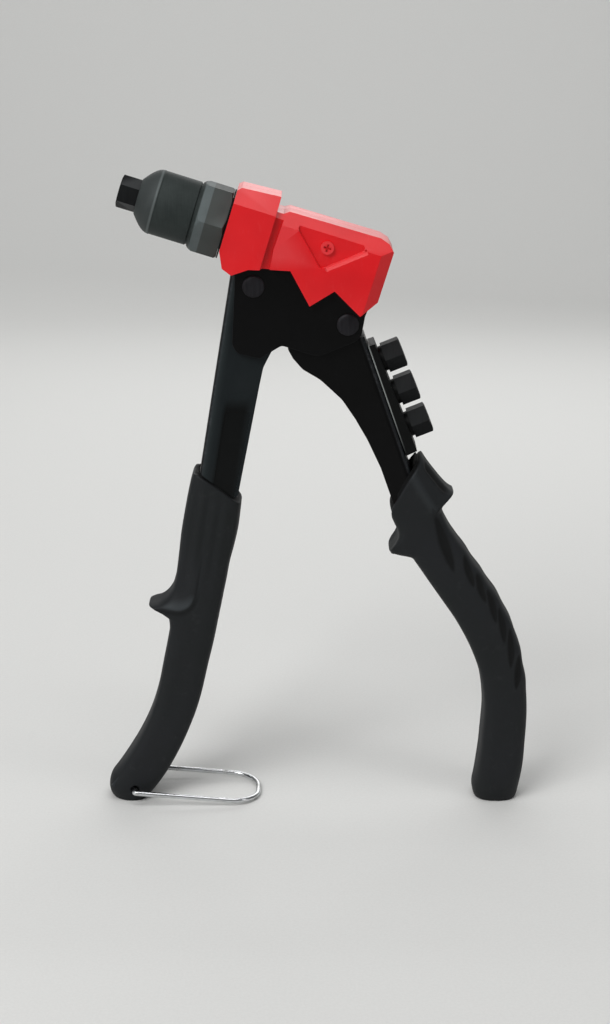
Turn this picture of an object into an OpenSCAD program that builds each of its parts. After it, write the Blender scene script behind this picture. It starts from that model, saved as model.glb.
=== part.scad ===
// Long-arm hand pliers for blind rivets, standing open on the ends of the two handles.
// Row frame: X runs from the nose to the back, Y across the tool, Z up, in millimetres.
// The origin is the mouth of the nosepiece. Inside barrel_frame() X runs back along the pulling axis.

/* [Head] */
// Downward slope of the pulling axis from nose to back, in degrees
tilt = 17.3; // [10:0.1:25]
// Outer radius of the barrel where the housing covers it
barrel_r = 12; // [11.5:0.1:12]
// Bore radius of the barrel and the sleeve, in which the jaw case slides
slide_bore_r = 8; // [7.8:0.1:8.4]
// Radius of the barrel spigot that the sleeve screws onto
spigot_r = 10.95; // [10.6:0.05:11.2]
// Radius of the side studs that carry the barrel in the cheeks
stud_r = 3; // [2.5:0.1:3.5]

/* [Nosepiece] */
// Width across flats of a nosepiece head
nose_af = 12; // [10:0.5:13]
// Length of a nosepiece head
nose_head = 8.1; // [7:0.1:9]
// Radius of the hole for the rivet mandrel in the fitted nosepiece
mandrel_hole_r = 1.6; // [1.3:0.05:1.7]
// Radius of the screwed shank of a nosepiece
nose_shank_r = 4.6; // [4:0.1:5]
// Length of the screwed shank
nose_shank = 6; // [5:0.1:6.5]
// Radius of the tail that holds the jaws open
nose_tail_r = 2.6; // [2.3:0.1:2.8]
// Radii of the mandrel holes in the three spare nosepieces
spare_hole_r = [0.9, 1.15, 1.4];

/* [Sleeve] */
// Radius of the round band of the sleeve
band_r = 13.5; // [13:0.1:14.5]
// Width across flats of the hexagon at the back of the sleeve
sleeve_af = 28; // [27:0.5:29]
// Distance from the mouth to the front of the round band
band_start = 15; // [14:0.5:18]
// Distance from the mouth to the front of the hexagon
hex_start = 32.6; // [30:0.2:34]
// Distance from the mouth to the back end of the hexagon
hex_end = 45.8; // [44.8:0.2:45.8]
// Thickness of the clamping ring between hexagon and housing
ring_t = 0.6; // [0.4:0.1:0.6]

/* [Jaws] */
// Half angle of the cone that closes the jaws, in degrees
cone_angle = 12; // [10:0.5:13]
// Length of a jaw
jaw_len = 10; // [8:0.5:11]
// Radius of the grip of the open jaws
jaw_grip_r = 1.9; // [1.7:0.05:2.1]
// Travel of a jaw along the axis inside its case
jaw_travel = 2.4; // [1.5:0.1:2.6]
// Clearance of a jaw in its cone
jaw_gap = 0.3; // [0.2:0.05:0.4]
// Wire diameter of the spring behind the jaws
jaw_wire = 0.9; // [0.7:0.1:1]

/* [Pivot] */
// Distance of the lever pivot behind the mouth, along the pulling axis
pivot_s = 106.4; // [105:0.1:107]
// Distance of the lever pivot below the pulling axis
pivot_drop = 23.3; // [22:0.1:25]
// Radius of the pivot pin
pivot_r = 3; // [2.6:0.1:3.4]
// Radius of the rivet and pin heads on the cheeks
head_r = 4.6; // [4.2:0.1:5]
// Angle of the lever fork ahead of square when the pliers are open
fork_back = 28; // [26:0.5:29]
// Angle that the lever turns from open to closed
lever_range = 33; // [28:0.5:33]
// Drop of the puller pins below the pulling axis
pin_drop = 3.3; // [3:0.1:3.5]
// Radius of the puller pins
pull_pin_r = 2; // [1.8:0.1:2.1]

/* [Frame widths] */
// Half width between the two cheeks
cheek_in = 10; // [9.9:0.05:10.1]
// Sheet thickness of a cheek
cheek_t = 2.5; // [2:0.1:2.5]
// Sheet thickness of the two handle channels
sheet_t = 2; // [1.6:0.1:2.2]
// Side gap between the lever and a cheek, filled by a washer
lever_gap = 0.6; // [0.5:0.05:0.8]

/* [Handles] */
// Lean of the straight part of the front arm, in degrees from upright
front_lean = -9.3; // [-10:0.1:-9]
// Lean of the upper part of the rear lever, in degrees from upright
rear_lean = 19.4; // [18:0.1:20]
// Height of the mouth above the surface that the pliers stand on
stand_h = 272.4; // [272:0.2:273]
// Half width of the front arm channel inside its grip
front_tang = 7; // [6.6:0.1:7.2]
// Half width of the rear lever channel
rear_tang = 6.2; // [5.8:0.1:6.4]
// Half thickness of the grips across the tool
grip_half = 11.8; // [11.2:0.1:12.4]
// Corner radius of the channels
fold_r = 3; // [2.4:0.1:3.4]

/* [Nosepiece store] */
// Pitch of the spare nosepieces
spare_pitch = 15.4; // [15.2:0.1:16]
// Thickness of the rail at its upper end
rail_t = 2.9; // [2.6:0.1:3.2]
// Height of the round boss under each spare nosepiece
boss_h = 1.6; // [1:0.1:2.2]
// Half width of the rail
rail_half = 8; // [7:0.1:9]

/* [Bail] */
// Diameter of the bail wire
bail_wire = 2.2; // [2:0.1:2.6]
// Distance between the two legs of the bail
bail_width = 29.4; // [28.6:0.2:31]
// Length of the bail from its pegs to the end of the loop
bail_len = 56.6; // [54:0.1:58]
// Corner radius of the loop
bail_corner = 12.4; // [8:0.2:13]

/* [Hidden] */

$fn = 48;
// Running clearance of a pin or slide in its bore
fit = 0.05;
// Clearance between pieces that must not touch
gap = 0.3;
// Depth by which a cut runs past the face that it opens
over = 1;

// Pulling axis, all distances from the mouth
wall_end = 15.3;
case_front = wall_end + 0.7;
cone_front = case_front + 1.5;
cone_front_r = nose_tail_r + 0.7;
case_r = slide_bore_r - fit;
jaw_front = cone_front + 2.7;
tail_end = jaw_front - gap;
jaw_back = jaw_front + jaw_len;
case_bore_r = cone_front_r + (jaw_back + 1 - cone_front) * tan(cone_angle);
case_back = 61.9;
jaw_outset = jaw_gap / cos(cone_angle);
jaw_front_r = cone_front_r + (jaw_front - cone_front) * tan(cone_angle) - jaw_outset;
jaw_back_r = cone_front_r + (jaw_back - cone_front) * tan(cone_angle) - jaw_outset;
jaw_step = jaw_len * 0.27;
// Slot between neighbouring open jaws, closed to a last 0.4 by their travel
jaw_slot = 0.4 + jaw_travel * tan(cone_angle) * 2 * sin(60);
pusher_r = 5;
pusher_bore_r = 1.7;
pusher_stem_r = 3.3;
pusher_seat = jaw_back + 0.5;
pusher_flange = 2;
spigot_front = case_back - 6.1;
spring_r = 4.2;
collar_end = 72;
stem_half = 6.7;
stem_top = 5;
puller_bore_r = 2.2;
sleeve_bore_r = spigot_r + fit;
spigot_front_s = hex_start + 1.4;
ring_start = hex_end + 0.1;

// Housing
house_front = hex_end + 0.8;
house_back = 115.4;
house_wall = 2.1;
block_half = 17;
body_half = 16;
shell_in = cheek_in + cheek_t + gap;
parting = 0.05;
cheek_top = 9;
exit_r = 3.6;
screw_s = 88.5;
screw_t = 5;

// Pivot and fork, in the barrel's own frame
short_arm = pivot_drop - pin_drop;
// Distance that the lever pulls the jaw case back, and the barrel that keeps its collar guided
stroke = short_arm * (tan(fork_back) + tan(lever_range - fork_back));
barrel_end = collar_end + stroke + 3.6;
pin_start = pivot_s - short_arm * tan(fork_back) + 0.2;
stem_end = pin_start + 4.5;
slot_half = pull_pin_r + 0.5;
tine_tip = short_arm / cos(fork_back) + 2.4;
lever_out = cheek_in - lever_gap;
lever_in = lever_out - sheet_t;
head_t = 1.2;
bush_r = 4.4;
coil_r = 6;
coil_wire = 1.8;
rivet_s = 64.2;
rivet_t = -19.7;

// Turns a place given along and above the pulling axis into row X and Z
function row(s, t) = [s * cos(tilt) + t * sin(tilt), t * cos(tilt) - s * sin(tilt)];
pivot = row(pivot_s, -pivot_drop);

// Centre lines of the two handles: a start [x, z, lean] and stretches [length, turn]
front_top = [45.6, -80, front_lean];
front_run = [[94.3, 0], [44, -3.8], [60, -26.1]];
rear_top = [97.85, -67.6, rear_lean];
rear_run = [[62.4, 0], [27.6, 34.6 - rear_lean], [31.6, 0], [60, -35.6], [40, -14]];
function stretch(p, len, turn) = turn == 0
  ? [p[0] + len * sin(p[2]), p[1] - len * cos(p[2]), p[2]]
  : let (r = len * 180 / (turn * PI))
    [p[0] + r * (cos(p[2]) - cos(p[2] + turn)), p[1] + r * (sin(p[2]) - sin(p[2] + turn)), p[2] + turn];
// Place and lean on a handle's centre line, at a distance d from its start
function along(p, run, d, i = 0) =
  i == len(run) - 1 || d <= run[i][0]
  ? stretch(p, d, run[i][1] * d / run[i][0])
  : along(stretch(p, run[i][0], run[i][1]), run, d - run[i][0], i + 1);
// Distance at which a handle's centre line comes down to the height z, found by halving
function reach(top, run, z, low = 0, high = 300, tries = 40) =
  let (mid = (low + high) / 2)
  tries == 0 ? mid
  : along(top, run, mid)[1] > z ? reach(top, run, z, mid, high, tries - 1)
  : reach(top, run, z, low, mid, tries - 1);
// Lengths of the two centre lines, down to the standing surface
front_len = reach(front_top, front_run, -stand_h);
rear_len = reach(rear_top, rear_run, -stand_h);

// Front arm above its grip: outer and inner edges as [x, z]
arm_top = -30.6;
arm_outer_lean = 9.4;
arm_inner_lean = 11.2;
function arm_outer(z) = [37.8 + (z + 82) * tan(arm_outer_lean), z];
function arm_inner(z) = [57.9 + (z + 79) * tan(arm_inner_lean), z];
// Inner edge behind the cheeks, flared towards the arch
arm_flare = [[62.4, arm_top, 1.5], [63.5, -64.4, 1], [59.3, -72.6, 8]];
arm_half = cheek_in - fit;
// Top and depth of the pressed panels in its sides
panel_top = -91.5;
panel_depth = 0.7;
shoulder_outer = -119;
shoulder_inner = -131.3;
front_tang_half = grip_half - 3;
// Height of the bail's pegs over the standing surface, and their distance along the front handle
peg_up = 6.1;
peg_z = peg_up - stand_h;
peg_d = reach(front_top, front_run, peg_z);
// Ends of the two channels along their centre lines, and the front one's height over the floor
front_end = peg_d + 1.3;
rear_end = rear_len - 9;
front_foot = 2.4;
// Distance of the lever's open edge from the centre line inside the grip
rear_edge = 5.6;

// Rail of spare nosepieces, at the back of the lever
rail_lean = 21.9;
rail_root = along(rear_top, rear_run, -1.5);
rail_off = rear_tang + 0.1;
rail_start = [rail_root[0], rail_root[1]] + (rail_off + rail_t) * [cos(rail_root[2]), sin(rail_root[2])];
rail_len = 50;
first_spare = 8.6;
function rail_at(d, e) = [rail_start[0] + d * sin(rail_lean) + e * cos(rail_lean),
                          rail_start[1] - d * cos(rail_lean) + e * sin(rail_lean)];

// Bail: offset of its pegs from the front handle's centre line, and how far its loop rests below them
peg_off = 2.1;
peg = [along(front_top, front_run, peg_d)[0] + peg_off, peg_z];
bail_drop = peg_up - bail_wire / 2 - gap;
peg_in = 5.5;

// Draws children, made along and above the pulling axis, in the row frame
module barrel_frame() rotate([0, tilt, 0]) children();
// Turned piece: an outline of [distance back, radius] points spun about the pulling axis
module turned(outline, fn = 64)
  barrel_frame() rotate([0, 90, 0])
    rotate_extrude($fn = fn) polygon([for (p = outline) [p[1], p[0]]]);
// Round bar along the pulling axis
module bar(s0, s1, r, fn = 48)
  barrel_frame() translate([s0, 0, 0]) rotate([0, 90, 0]) cylinder(r = r, h = s1 - s0, $fn = fn);
// Plate in the barrel's frame, from y0 to y1, from an outline of [distance back, height] points
module head_plate(outline, y0, y1)
  barrel_frame() translate([0, y1, 0]) rotate([90, 0, 0]) linear_extrude(y1 - y0) polygon(outline);
// Round bar across the tool, at a place along and above the pulling axis
module cross_bar(s, t, r, y0, y1, fn = 48)
  barrel_frame() translate([s, y1, t]) rotate([90, 0, 0]) cylinder(r = r, h = y1 - y0, $fn = fn);
// Plate in the row frame from an outline of [x, z] points
module plate(outline, y0, y1)
  translate([0, y1, 0]) rotate([90, 0, 0]) linear_extrude(y1 - y0) polygon(outline);
// Two mirrored copies, one on each side of the tool
module both_sides() {
  children();
  mirror([0, 1, 0]) children();
}

// Rounds the corners of an outline: each point is [x, y, radius]
function unit(v) = v / norm(v);
function corner(a, b, c, r, n = 6) =
  let (u = unit([a[0] - b[0], a[1] - b[1]]), v = unit([c[0] - b[0], c[1] - b[1]]),
       half = acos(u * v) / 2, cut = r / tan(half),
       m = [b[0], b[1]] + unit(u + v) * r / sin(half),
       p = [b[0], b[1]] + u * cut - m, q = [b[0], b[1]] + v * cut - m,
       a0 = atan2(p[1], p[0]), turn = atan2(p[0] * q[1] - p[1] * q[0], p * q))
  [for (k = [0:n]) m + r * [cos(a0 + turn * k / n), sin(a0 + turn * k / n)]];
function rounded(pts) = let (n = len(pts))
  [for (i = [0:n - 1]) each pts[i][2] == 0 ? [[pts[i][0], pts[i][1]]]
    : corner(pts[(i + n - 1) % n], pts[i], pts[(i + 1) % n], pts[i][2])];

// Outline of a strip that follows a handle from d0 to d1, between offsets u0 and u1
function edge(top, run, ds, u) = [for (d = ds) let (p = along(top, run, d))
  [p[0] + u * cos(p[2]), p[1] + u * sin(p[2])]];
function strip(top, run, d0, d1, u0, u1) =
  let (ds = concat([d0], [for (d = [max(d0, run[0][0]):5:d1 - 1]) d], [d1]), n = len(ds))
  concat(edge(top, run, ds, u0), edge(top, run, [for (i = [n - 1:-1:0]) ds[i]], u1));
// Folded channel along a handle, with its web at the offset side * half
module channel(top, run, d0, d1, half, y_half, side) difference() {
  plate(strip(top, run, d0, d1, -half, half), -y_half, y_half);
  plate(strip(top, run, d0 - over, d1 + over, -side * (half + over), side * (half - sheet_t)),
    sheet_t - y_half, y_half - sheet_t);
}
// Cutter that ends a handle level, at a height over the standing surface
foot_block = [460, 100, 50];
module foot_cutter(h) translate([-foot_block[0] / 3, -foot_block[1] / 2, h - stand_h - foot_block[2]])
  cube(foot_block);
// Cutter that rounds the outer fold of a web: runs up from a place [x, z], leaning by lean
module fold_cutter(place, lean, len, y_half, side) both_sides()
  translate([place[0], -y_half, place[1]]) rotate([0, lean, 0]) linear_extrude(len) scale([side, 1])
    difference() {
      translate([-over, -over]) square(fold_r + over);
      translate([fold_r, fold_r]) circle(fold_r, $fn = 32);
    }

// Nosepiece with its head on the negative side of its seat, seat at the origin, pointing to -X
module nose_form(hole_r) rotate([0, 90, 0]) difference() {
  union() {
    intersection() {
      translate([0, 0, -nose_head]) cylinder(d = nose_af / cos(30), h = nose_head, $fn = 6);
      translate([0, 0, -nose_head])
        cylinder(r1 = nose_af / 2 - 0.3, r2 = nose_af / 2 - 0.3 + nose_head * 3, h = nose_head, $fn = 64);
    }
    cylinder(r = nose_shank_r, h = nose_shank);
    cylinder(r = nose_tail_r, h = tail_end - nose_head);
  }
  translate([0, 0, -nose_head - over]) cylinder(r = hole_r, h = tail_end + 2 * over, $fn = 32);
}
module nosepiece() color("dimgray") barrel_frame() translate([nose_head, 0, 0]) nose_form(mandrel_hole_r);
module spare(k) color("dimgray") {
  p = rail_at(first_spare + k * spare_pitch, boss_h);
  translate([p[0], 0, p[1]]) rotate([0, 180 - rail_lean, 0]) rotate([30, 0, 0]) nose_form(spare_hole_r[k]);
}
module spare_nosepiece_a() spare(0);
module spare_nosepiece_b() spare(1);
module spare_nosepiece_c() spare(2);

// Sleeve: blunt ogive, round band and hexagon, hollow for the jaw case
module nose_sleeve() color("slategray") difference() {
  union() {
    turned(concat([[nose_head + 0.1, 0]],
      [for (k = [0:6]) let (u = k / 6) [nose_head + 0.1 + (band_start - nose_head) * u,
        7.4 + (band_r - 7.4) * sin(80 * u) / sin(80)]],
      [[hex_start - 0.8, band_r], [hex_start - 0.4, band_r - 0.5], [hex_start + 1, band_r - 0.5],
       [hex_start + 1, 0]]));
    intersection() {
      barrel_frame() translate([hex_start, 0, 0]) rotate([0, 90, 0]) rotate([0, 0, 30])
        cylinder(d = sleeve_af / cos(30), h = hex_end - hex_start, $fn = 6);
      turned([[hex_start, 0], [hex_start, sleeve_af / 2 - 0.6], [hex_start + 3.2, sleeve_af * 0.6],
        [hex_end - 1.2, sleeve_af * 0.6], [hex_end, sleeve_af / 2 + 0.6], [hex_end, 0]]);
    }
  }
  bar(nose_head - over, wall_end + over, nose_shank_r + fit);
  bar(wall_end, hex_end + over, slide_bore_r);
  bar(spigot_front_s - gap, hex_end + over, sleeve_bore_r);
}
module nose_ring() color("black") difference() {
  bar(ring_start, ring_start + ring_t, sleeve_af / 2 + 0.8, 64);
  bar(ring_start - over, ring_start + over, sleeve_bore_r);
}

// Barrel: spigot for the sleeve, two side flats between the cheeks and two studs on each flat
module barrel() color("gray") difference() {
  union() {
    bar(spigot_front_s, house_front, spigot_r, 64);
    intersection() {
      bar(house_front, barrel_end, barrel_r, 64);
      barrel_frame() translate([house_front, fit - cheek_in, -barrel_r])
        cube([barrel_end - house_front, 2 * (cheek_in - fit), 2 * barrel_r]);
    }
    for (s = [60, 78]) cross_bar(s, 0, stud_r, -cheek_in - cheek_t, cheek_in + cheek_t);
  }
  bar(spigot_front_s - over, barrel_end + over, slide_bore_r, 64);
}

// Jaw case: sliding tube with the closing cone at its front
module jaw_case() color("silver") turned([[case_front, cone_front_r], [case_front, case_r - 1.2],
  [case_front + 1.2, case_r], [case_back, case_r], [case_back, case_bore_r],
  [jaw_back + 1, case_bore_r], [cone_front, cone_front_r]]);

// One jaw: a third of a cone with a toothed grip and a hollow back that the pusher seats in
function jaw_teeth(n) = [for (k = [n - 1:-1:0]) let (s = jaw_front + 0.6 + k)
  each [[s + 0.9, jaw_grip_r], [s + 0.45, jaw_grip_r + 0.35], [s, jaw_grip_r]]];
module jaw(turn) color("lightgray") barrel_frame() rotate([turn, 0, 0]) intersection() {
  rotate([0, 90, 0]) rotate_extrude($fn = 72) polygon([for (p = concat(
    [[jaw_front, jaw_grip_r], [jaw_front, jaw_front_r], [jaw_back, jaw_back_r],
     [jaw_back, jaw_grip_r + jaw_step], [jaw_back - jaw_step, jaw_grip_r]],
    jaw_teeth(6))) [p[1], p[0]]]);
  apex = jaw_slot / 2 / sin(60);
  translate([0, 0, apex]) rotate([90, 0, 90]) linear_extrude(80)
    polygon([[0, 0], [20 * sin(60), 20 * cos(60)], [0, 30], [-20 * sin(60), 20 * cos(60)]]);
}
module jaw_top() jaw(0);
module jaw_near() jaw(120);
module jaw_far() jaw(240);

// Pusher: its cone spreads and closes the jaws from behind, its stem guides the spring
module jaw_pusher() color("goldenrod") {
  tip = jaw_back - jaw_step - jaw_grip_r + gap / cos(45);
  turned([[tip + pusher_bore_r, pusher_bore_r], [tip + jaw_grip_r + jaw_step, jaw_grip_r + jaw_step],
    [pusher_seat, pusher_r], [pusher_seat + pusher_flange, pusher_r],
    [pusher_seat + pusher_flange, pusher_stem_r], [pusher_seat + 12, pusher_stem_r],
    [pusher_seat + 12, pusher_bore_r]]);
}

// Puller: spigot in the jaw case, guide collar and flat-sided stem with a hole for the spent mandrel
module puller() color("silver") difference() {
  union() {
    bar(spigot_front, case_back + 0.1 + fit, case_bore_r - fit);
    bar(case_back + 0.1, collar_end, case_r);
    intersection() {
      bar(collar_end - over, stem_end, case_r - 0.35);
      barrel_frame() translate([collar_end - 2 * over, -stem_half, stem_top - 2 * stem_half])
        cube([stem_end, 2 * stem_half, 2 * stem_half]);
    }
  }
  bar(spigot_front - over, stem_end + over, puller_bore_r);
  both_sides() cross_bar(pin_start, -pin_drop, pull_pin_r, 3, stem_half + over);
}
module puller_pins() color("lightgray") both_sides()
  cross_bar(pin_start, -pin_drop, pull_pin_r, 3, lever_out - 0.2);

// Cheek: pressed side plate of the head, carrying barrel, arm rivet and pivot
cheek_outline = rounded([[52.5, cheek_top, 0], [52.5, -11, 0], [56, -19, 3], [62.8, -45.8, 3],
  [66, -48.7, 2.5], [75.6, -48, 1.5], [82.7, -40, 2.5], [98.5, -40, 8], [113.4, -27.6, 6],
  [112.2, -18, 3], [112.9, -9, 0], [112.9, cheek_top, 0]]);
module cheek() difference() {
  head_plate(cheek_outline, -cheek_in - cheek_t, -cheek_in);
  for (s = [60, 78]) cross_bar(s, 0, stud_r + fit, -cheek_in - cheek_t - over, -cheek_in + over);
  cross_bar(rivet_s, rivet_t, pivot_r + fit, -cheek_in - cheek_t - over, -cheek_in + over);
  cross_bar(pivot_s, -pivot_drop, pivot_r + fit, -cheek_in - cheek_t - over, -cheek_in + over);
  cross_bar(screw_s, screw_t, 1.5 + fit, -cheek_in - cheek_t - over, -cheek_in + over, 24);
}
module cheek_near() color([0.08, 0.08, 0.09]) cheek();
module cheek_far() color([0.08, 0.08, 0.09]) mirror([0, 1, 0]) cheek();

// Front arm: tapered channel above, narrower tang inside the grip
module front_arm() color([0.1, 0.1, 0.11]) difference() {
  union() {
    difference() {
      plate(rounded(concat([[arm_outer(arm_top)[0], arm_top, 1.5]], arm_flare,
        [[arm_inner(-80)[0], -80, 0], [arm_inner(shoulder_inner)[0], shoulder_inner, 2],
         [arm_outer(shoulder_outer)[0], shoulder_outer, 2]])), -arm_half, arm_half);
      plate([[arm_outer(0)[0] + sheet_t, 0], [100, 0], [100, -140], [arm_outer(-140)[0] + sheet_t, -140]],
        sheet_t - arm_half, arm_half - sheet_t);
      fold_cutter(arm_outer(-160), arm_outer_lean, 160, arm_half, 1);
      // pressed panel in each side, down to the grip
      both_sides() plate(rounded([[arm_outer(panel_top)[0] + 6.6, panel_top, 2],
        [arm_inner(panel_top)[0] - 1.4, panel_top, 2],
        [arm_inner(-140)[0] - 1.4, -140, 0], [arm_outer(-140)[0] + 6.6, -140, 0]]),
        -arm_half - over, panel_depth - arm_half);
    }
    channel(front_top, front_run, 34, front_end, front_tang, front_tang_half, -1);
  }
  foot_cutter(front_foot);
  cross_bar(rivet_s, rivet_t, pivot_r + fit, -arm_half - over, arm_half + over);
  translate([peg[0], 0, peg[1]]) rotate([90, 0, 0])
    cylinder(r = bail_wire / 2 + fit, h = 4 * grip_half, center = true, $fn = 32);
}

module dome_head(y0, h, r) translate([0, 0, y0]) rotate_extrude($fn = 48)
  polygon([[0, 0], [r, 0], [r, h * 0.4], [r * 0.86, h * 0.8], [r * 0.6, h], [0, h]]);
module pin_head(s, t, side) barrel_frame() translate([s, 0, t]) rotate([side * 90, 0, 0])
  dome_head(cheek_in + cheek_t, head_t, head_r);
module arm_rivet() color([0.2, 0.2, 0.22]) {
  cross_bar(rivet_s, rivet_t, pivot_r, -cheek_in - cheek_t, cheek_in + cheek_t);
  for (side = [-1, 1]) pin_head(rivet_s, rivet_t, side);
}

// Lever: two side plates with a fork, joined by the folded channel that runs into the grip
function fork(r, off) = let (a = 90 + fork_back)
  [pivot_s + r * cos(a) + off * sin(a), -pivot_drop + r * sin(a) - off * cos(a)];
function at_fork(r, off, round) = let (p = fork(r, off), q = row(p[0], p[1])) [q[0], q[1], round];
side_end = edge(rear_top, rear_run, [0, 34], 2.4);
lever_outline = rounded([at_fork(tine_tip, -5.6, 2), at_fork(tine_tip, 4.3, 2), at_fork(7, 5.2, 3),
  [100.8, -56, 3], [98, -60.6, 2], [side_end[0][0], side_end[0][1], 0], [side_end[1][0], side_end[1][1], 0],
  [110, -118.4, 0], [103.4, -104.3, 0], [98.2, -95.2, 14], [92.4, -86.6, 12], [83.2, -78, 16],
  [75.8, -73.6, 6], [71.8, -69, 5], [69.4, -64.6, 2],
  at_fork(8, -16, 6), at_fork(10, -5.6, 4)]);
module lever_section(y_half)
  translate([0, y_half, 0]) rotate([90, 0, 0]) linear_extrude(2 * y_half) children();
module rear_lever() color([0.08, 0.08, 0.09]) difference() {
  lever_section(lever_out) union() {
    polygon(lever_outline);
    polygon(strip(rear_top, rear_run, -6, rear_end, -rear_edge, rear_tang));
  }
  // room between the two sides, up to the web
  lever_section(lever_in) difference() {
    translate([40, -stand_h - foot_block[2]]) square([160, stand_h + foot_block[2]]);
    polygon(strip(rear_top, rear_run, -6, rear_end + over, rear_tang - sheet_t, rear_tang + over));
  }
  fold_cutter(edge(rear_top, rear_run, [62], rear_tang)[0], -rear_lean, 69, lever_out, -1);
  cross_bar(pivot_s, -pivot_drop, pivot_r + fit, -lever_out - over, lever_out + over);
  // open slot of the fork for the puller pins
  barrel_frame() translate([pivot_s, 0, -pivot_drop]) rotate([0, -fork_back, 0]) {
    translate([0, 0, short_arm - 0.6]) rotate([90, 0, 0])
      cylinder(r = slot_half, h = 3 * lever_out, center = true, $fn = 32);
    translate([-slot_half, -1.5 * lever_out, short_arm - 0.6]) cube([2 * slot_half, 3 * lever_out, 12]);
  }
  for (k = [0:2]) {
    p = rail_at(first_spare + k * spare_pitch, 0);
    translate([p[0], 0, p[1]]) rotate([0, -90 - rail_lean, 0])
      cylinder(r = nose_shank_r + gap, h = 12, $fn = 32);
  }
}

module pivot_pin() color([0.2, 0.2, 0.22]) difference() {
  union() {
    cross_bar(pivot_s, -pivot_drop, pivot_r, -cheek_in - cheek_t, cheek_in + cheek_t + 2.2);
    pin_head(pivot_s, -pivot_drop, 1);
  }
  // groove for the clip
  barrel_frame() translate([pivot_s, cheek_in + cheek_t + 1.2, -pivot_drop]) rotate([90, 0, 0]) difference() {
    cylinder(r = pivot_r + over, h = 1);
    translate([0, 0, -over]) cylinder(r = pivot_r - 0.6, h = 1 + 2 * over);
  }
}
module pivot_clip() color("gray") barrel_frame()
  translate([pivot_s, cheek_in + cheek_t + 1.1, -pivot_drop]) rotate([90, 0, 0])
    linear_extrude(0.8) difference() {
      circle(head_r);
      circle(pivot_r - 0.5);
      translate([-1.4, -2 * head_r]) square([2.8, 2 * head_r]);
      for (a = [30, 150]) translate(3.4 * [cos(a), sin(a)]) circle(0.9, $fn = 24);
    }
module pivot_washers() color("silver") both_sides() difference() {
  cross_bar(pivot_s, -pivot_drop, 5.5, -cheek_in + fit, -lever_out - fit);
  cross_bar(pivot_s, -pivot_drop, pivot_r + fit, -cheek_in - over, -lever_out + over);
}
module pivot_bush() color("silver") difference() {
  cross_bar(pivot_s, -pivot_drop, bush_r, 0.1 - lever_in, lever_in - 0.1);
  cross_bar(pivot_s, -pivot_drop, pivot_r + fit, -lever_in - over, lever_in + over);
}

// Wire of a spring: rings of points round each place of a path, [x, y, z]
module wire(path, r, sides = 8) {
  n = len(path);
  pts = [for (i = [0:n - 1])
    let (t = unit(path[min(i + 1, n - 1)] - path[max(i - 1, 0)]),
         u = unit(cross(t, [t[1] * t[1] > 0.8 ? 1 : 0, t[1] * t[1] > 0.8 ? 0 : 1, 0])), v = cross(t, u))
    for (k = [0:sides - 1]) path[i] + r * (u * cos(360 * k / sides) + v * sin(360 * k / sides))];
  polyhedron(pts, concat(
    [[for (k = [0:sides - 1]) k]],
    [for (i = [0:n - 2]) for (k = [0:sides - 1]) let (m = (k + 1) % sides) each
      [[i * sides + k, (i + 1) * sides + k, i * sides + m],
       [i * sides + m, (i + 1) * sides + k, (i + 1) * sides + m]]],
    [[for (k = [sides - 1:-1:0]) (n - 1) * sides + k]]));
}
// Torsion spring on the bush: one leg under the arm rivet, the other on the web of the lever
leg_in = -96.9;
coil_turn = 1407;
leg_out = leg_in + coil_turn;
coil_pitch = 2.15;
function coil_at(a) = [pivot_s + coil_r * cos(a), (a - leg_in) / 360 * coil_pitch - 4.2,
                       coil_r * sin(a) - pivot_drop];
function leg_step(a, len) = coil_at(a) + len * [-sin(a), 0, cos(a)];
module opening_spring() color("lightgray") barrel_frame() wire(concat(
  [leg_step(leg_in, -44), leg_step(leg_in, -22), leg_step(leg_in, -3)],
  [for (k = [0:52]) coil_at(leg_in + coil_turn * k / 52)],
  [leg_step(leg_out, 3), leg_step(leg_out, 13), leg_step(leg_out, 24)]), coil_wire / 2);
module jaw_spring() color("lightgray") barrel_frame() {
  s0 = pusher_seat + pusher_flange + jaw_wire / 2 + 0.1;
  s1 = spigot_front - jaw_wire / 2 - 0.1;
  turns = 7;
  wire([for (k = [0:12 * turns]) let (a = 30 * k)
    [s0 + (s1 - s0) * k / (12 * turns), spring_r * cos(a), spring_r * sin(a)]], jaw_wire / 2, 6);
}

// Housing: two moulded shells with a front block, a valley and a V-shaped flank
block_top = 18.6;
block_side = [[house_front, 16], [48.2, 17.5], [64.6, block_top], [64.6, -11.8], [60.1, -13], [54, -17.4],
  [49.6, -15.8], [house_front, -9.4]];
flank_top = 14.6;
flank_side = [[63, 12.6], [67.5, 12.6], [69.6, 14], [108.7, flank_top], [112.8, 13.4], [house_back, 10.8],
  [house_back, -10.8], [109.9, -18.1], [96.7, -11.1], [88.7, -20.2], [76.8, -8.5], [66.2, -11.1],
  [63, -12.1]];
// Sunk panel of the flank, and the rear chamfers as [distance back, half width]
recess = [[72.4, 11.2], [106, 10.4], [88.4, -4.2]];
recess_depth = 1.9;
bevel_len = 18.5;
bevel_w = 3.4;
rear_taper = [[110.6, body_half], [house_back, 12.6]];
function end_face(half, top, c, bottom) = [[-half, bottom], [half, bottom], [half, top - c],
  [half - c, top], [c - half, top], [-half, top - c]];
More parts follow.
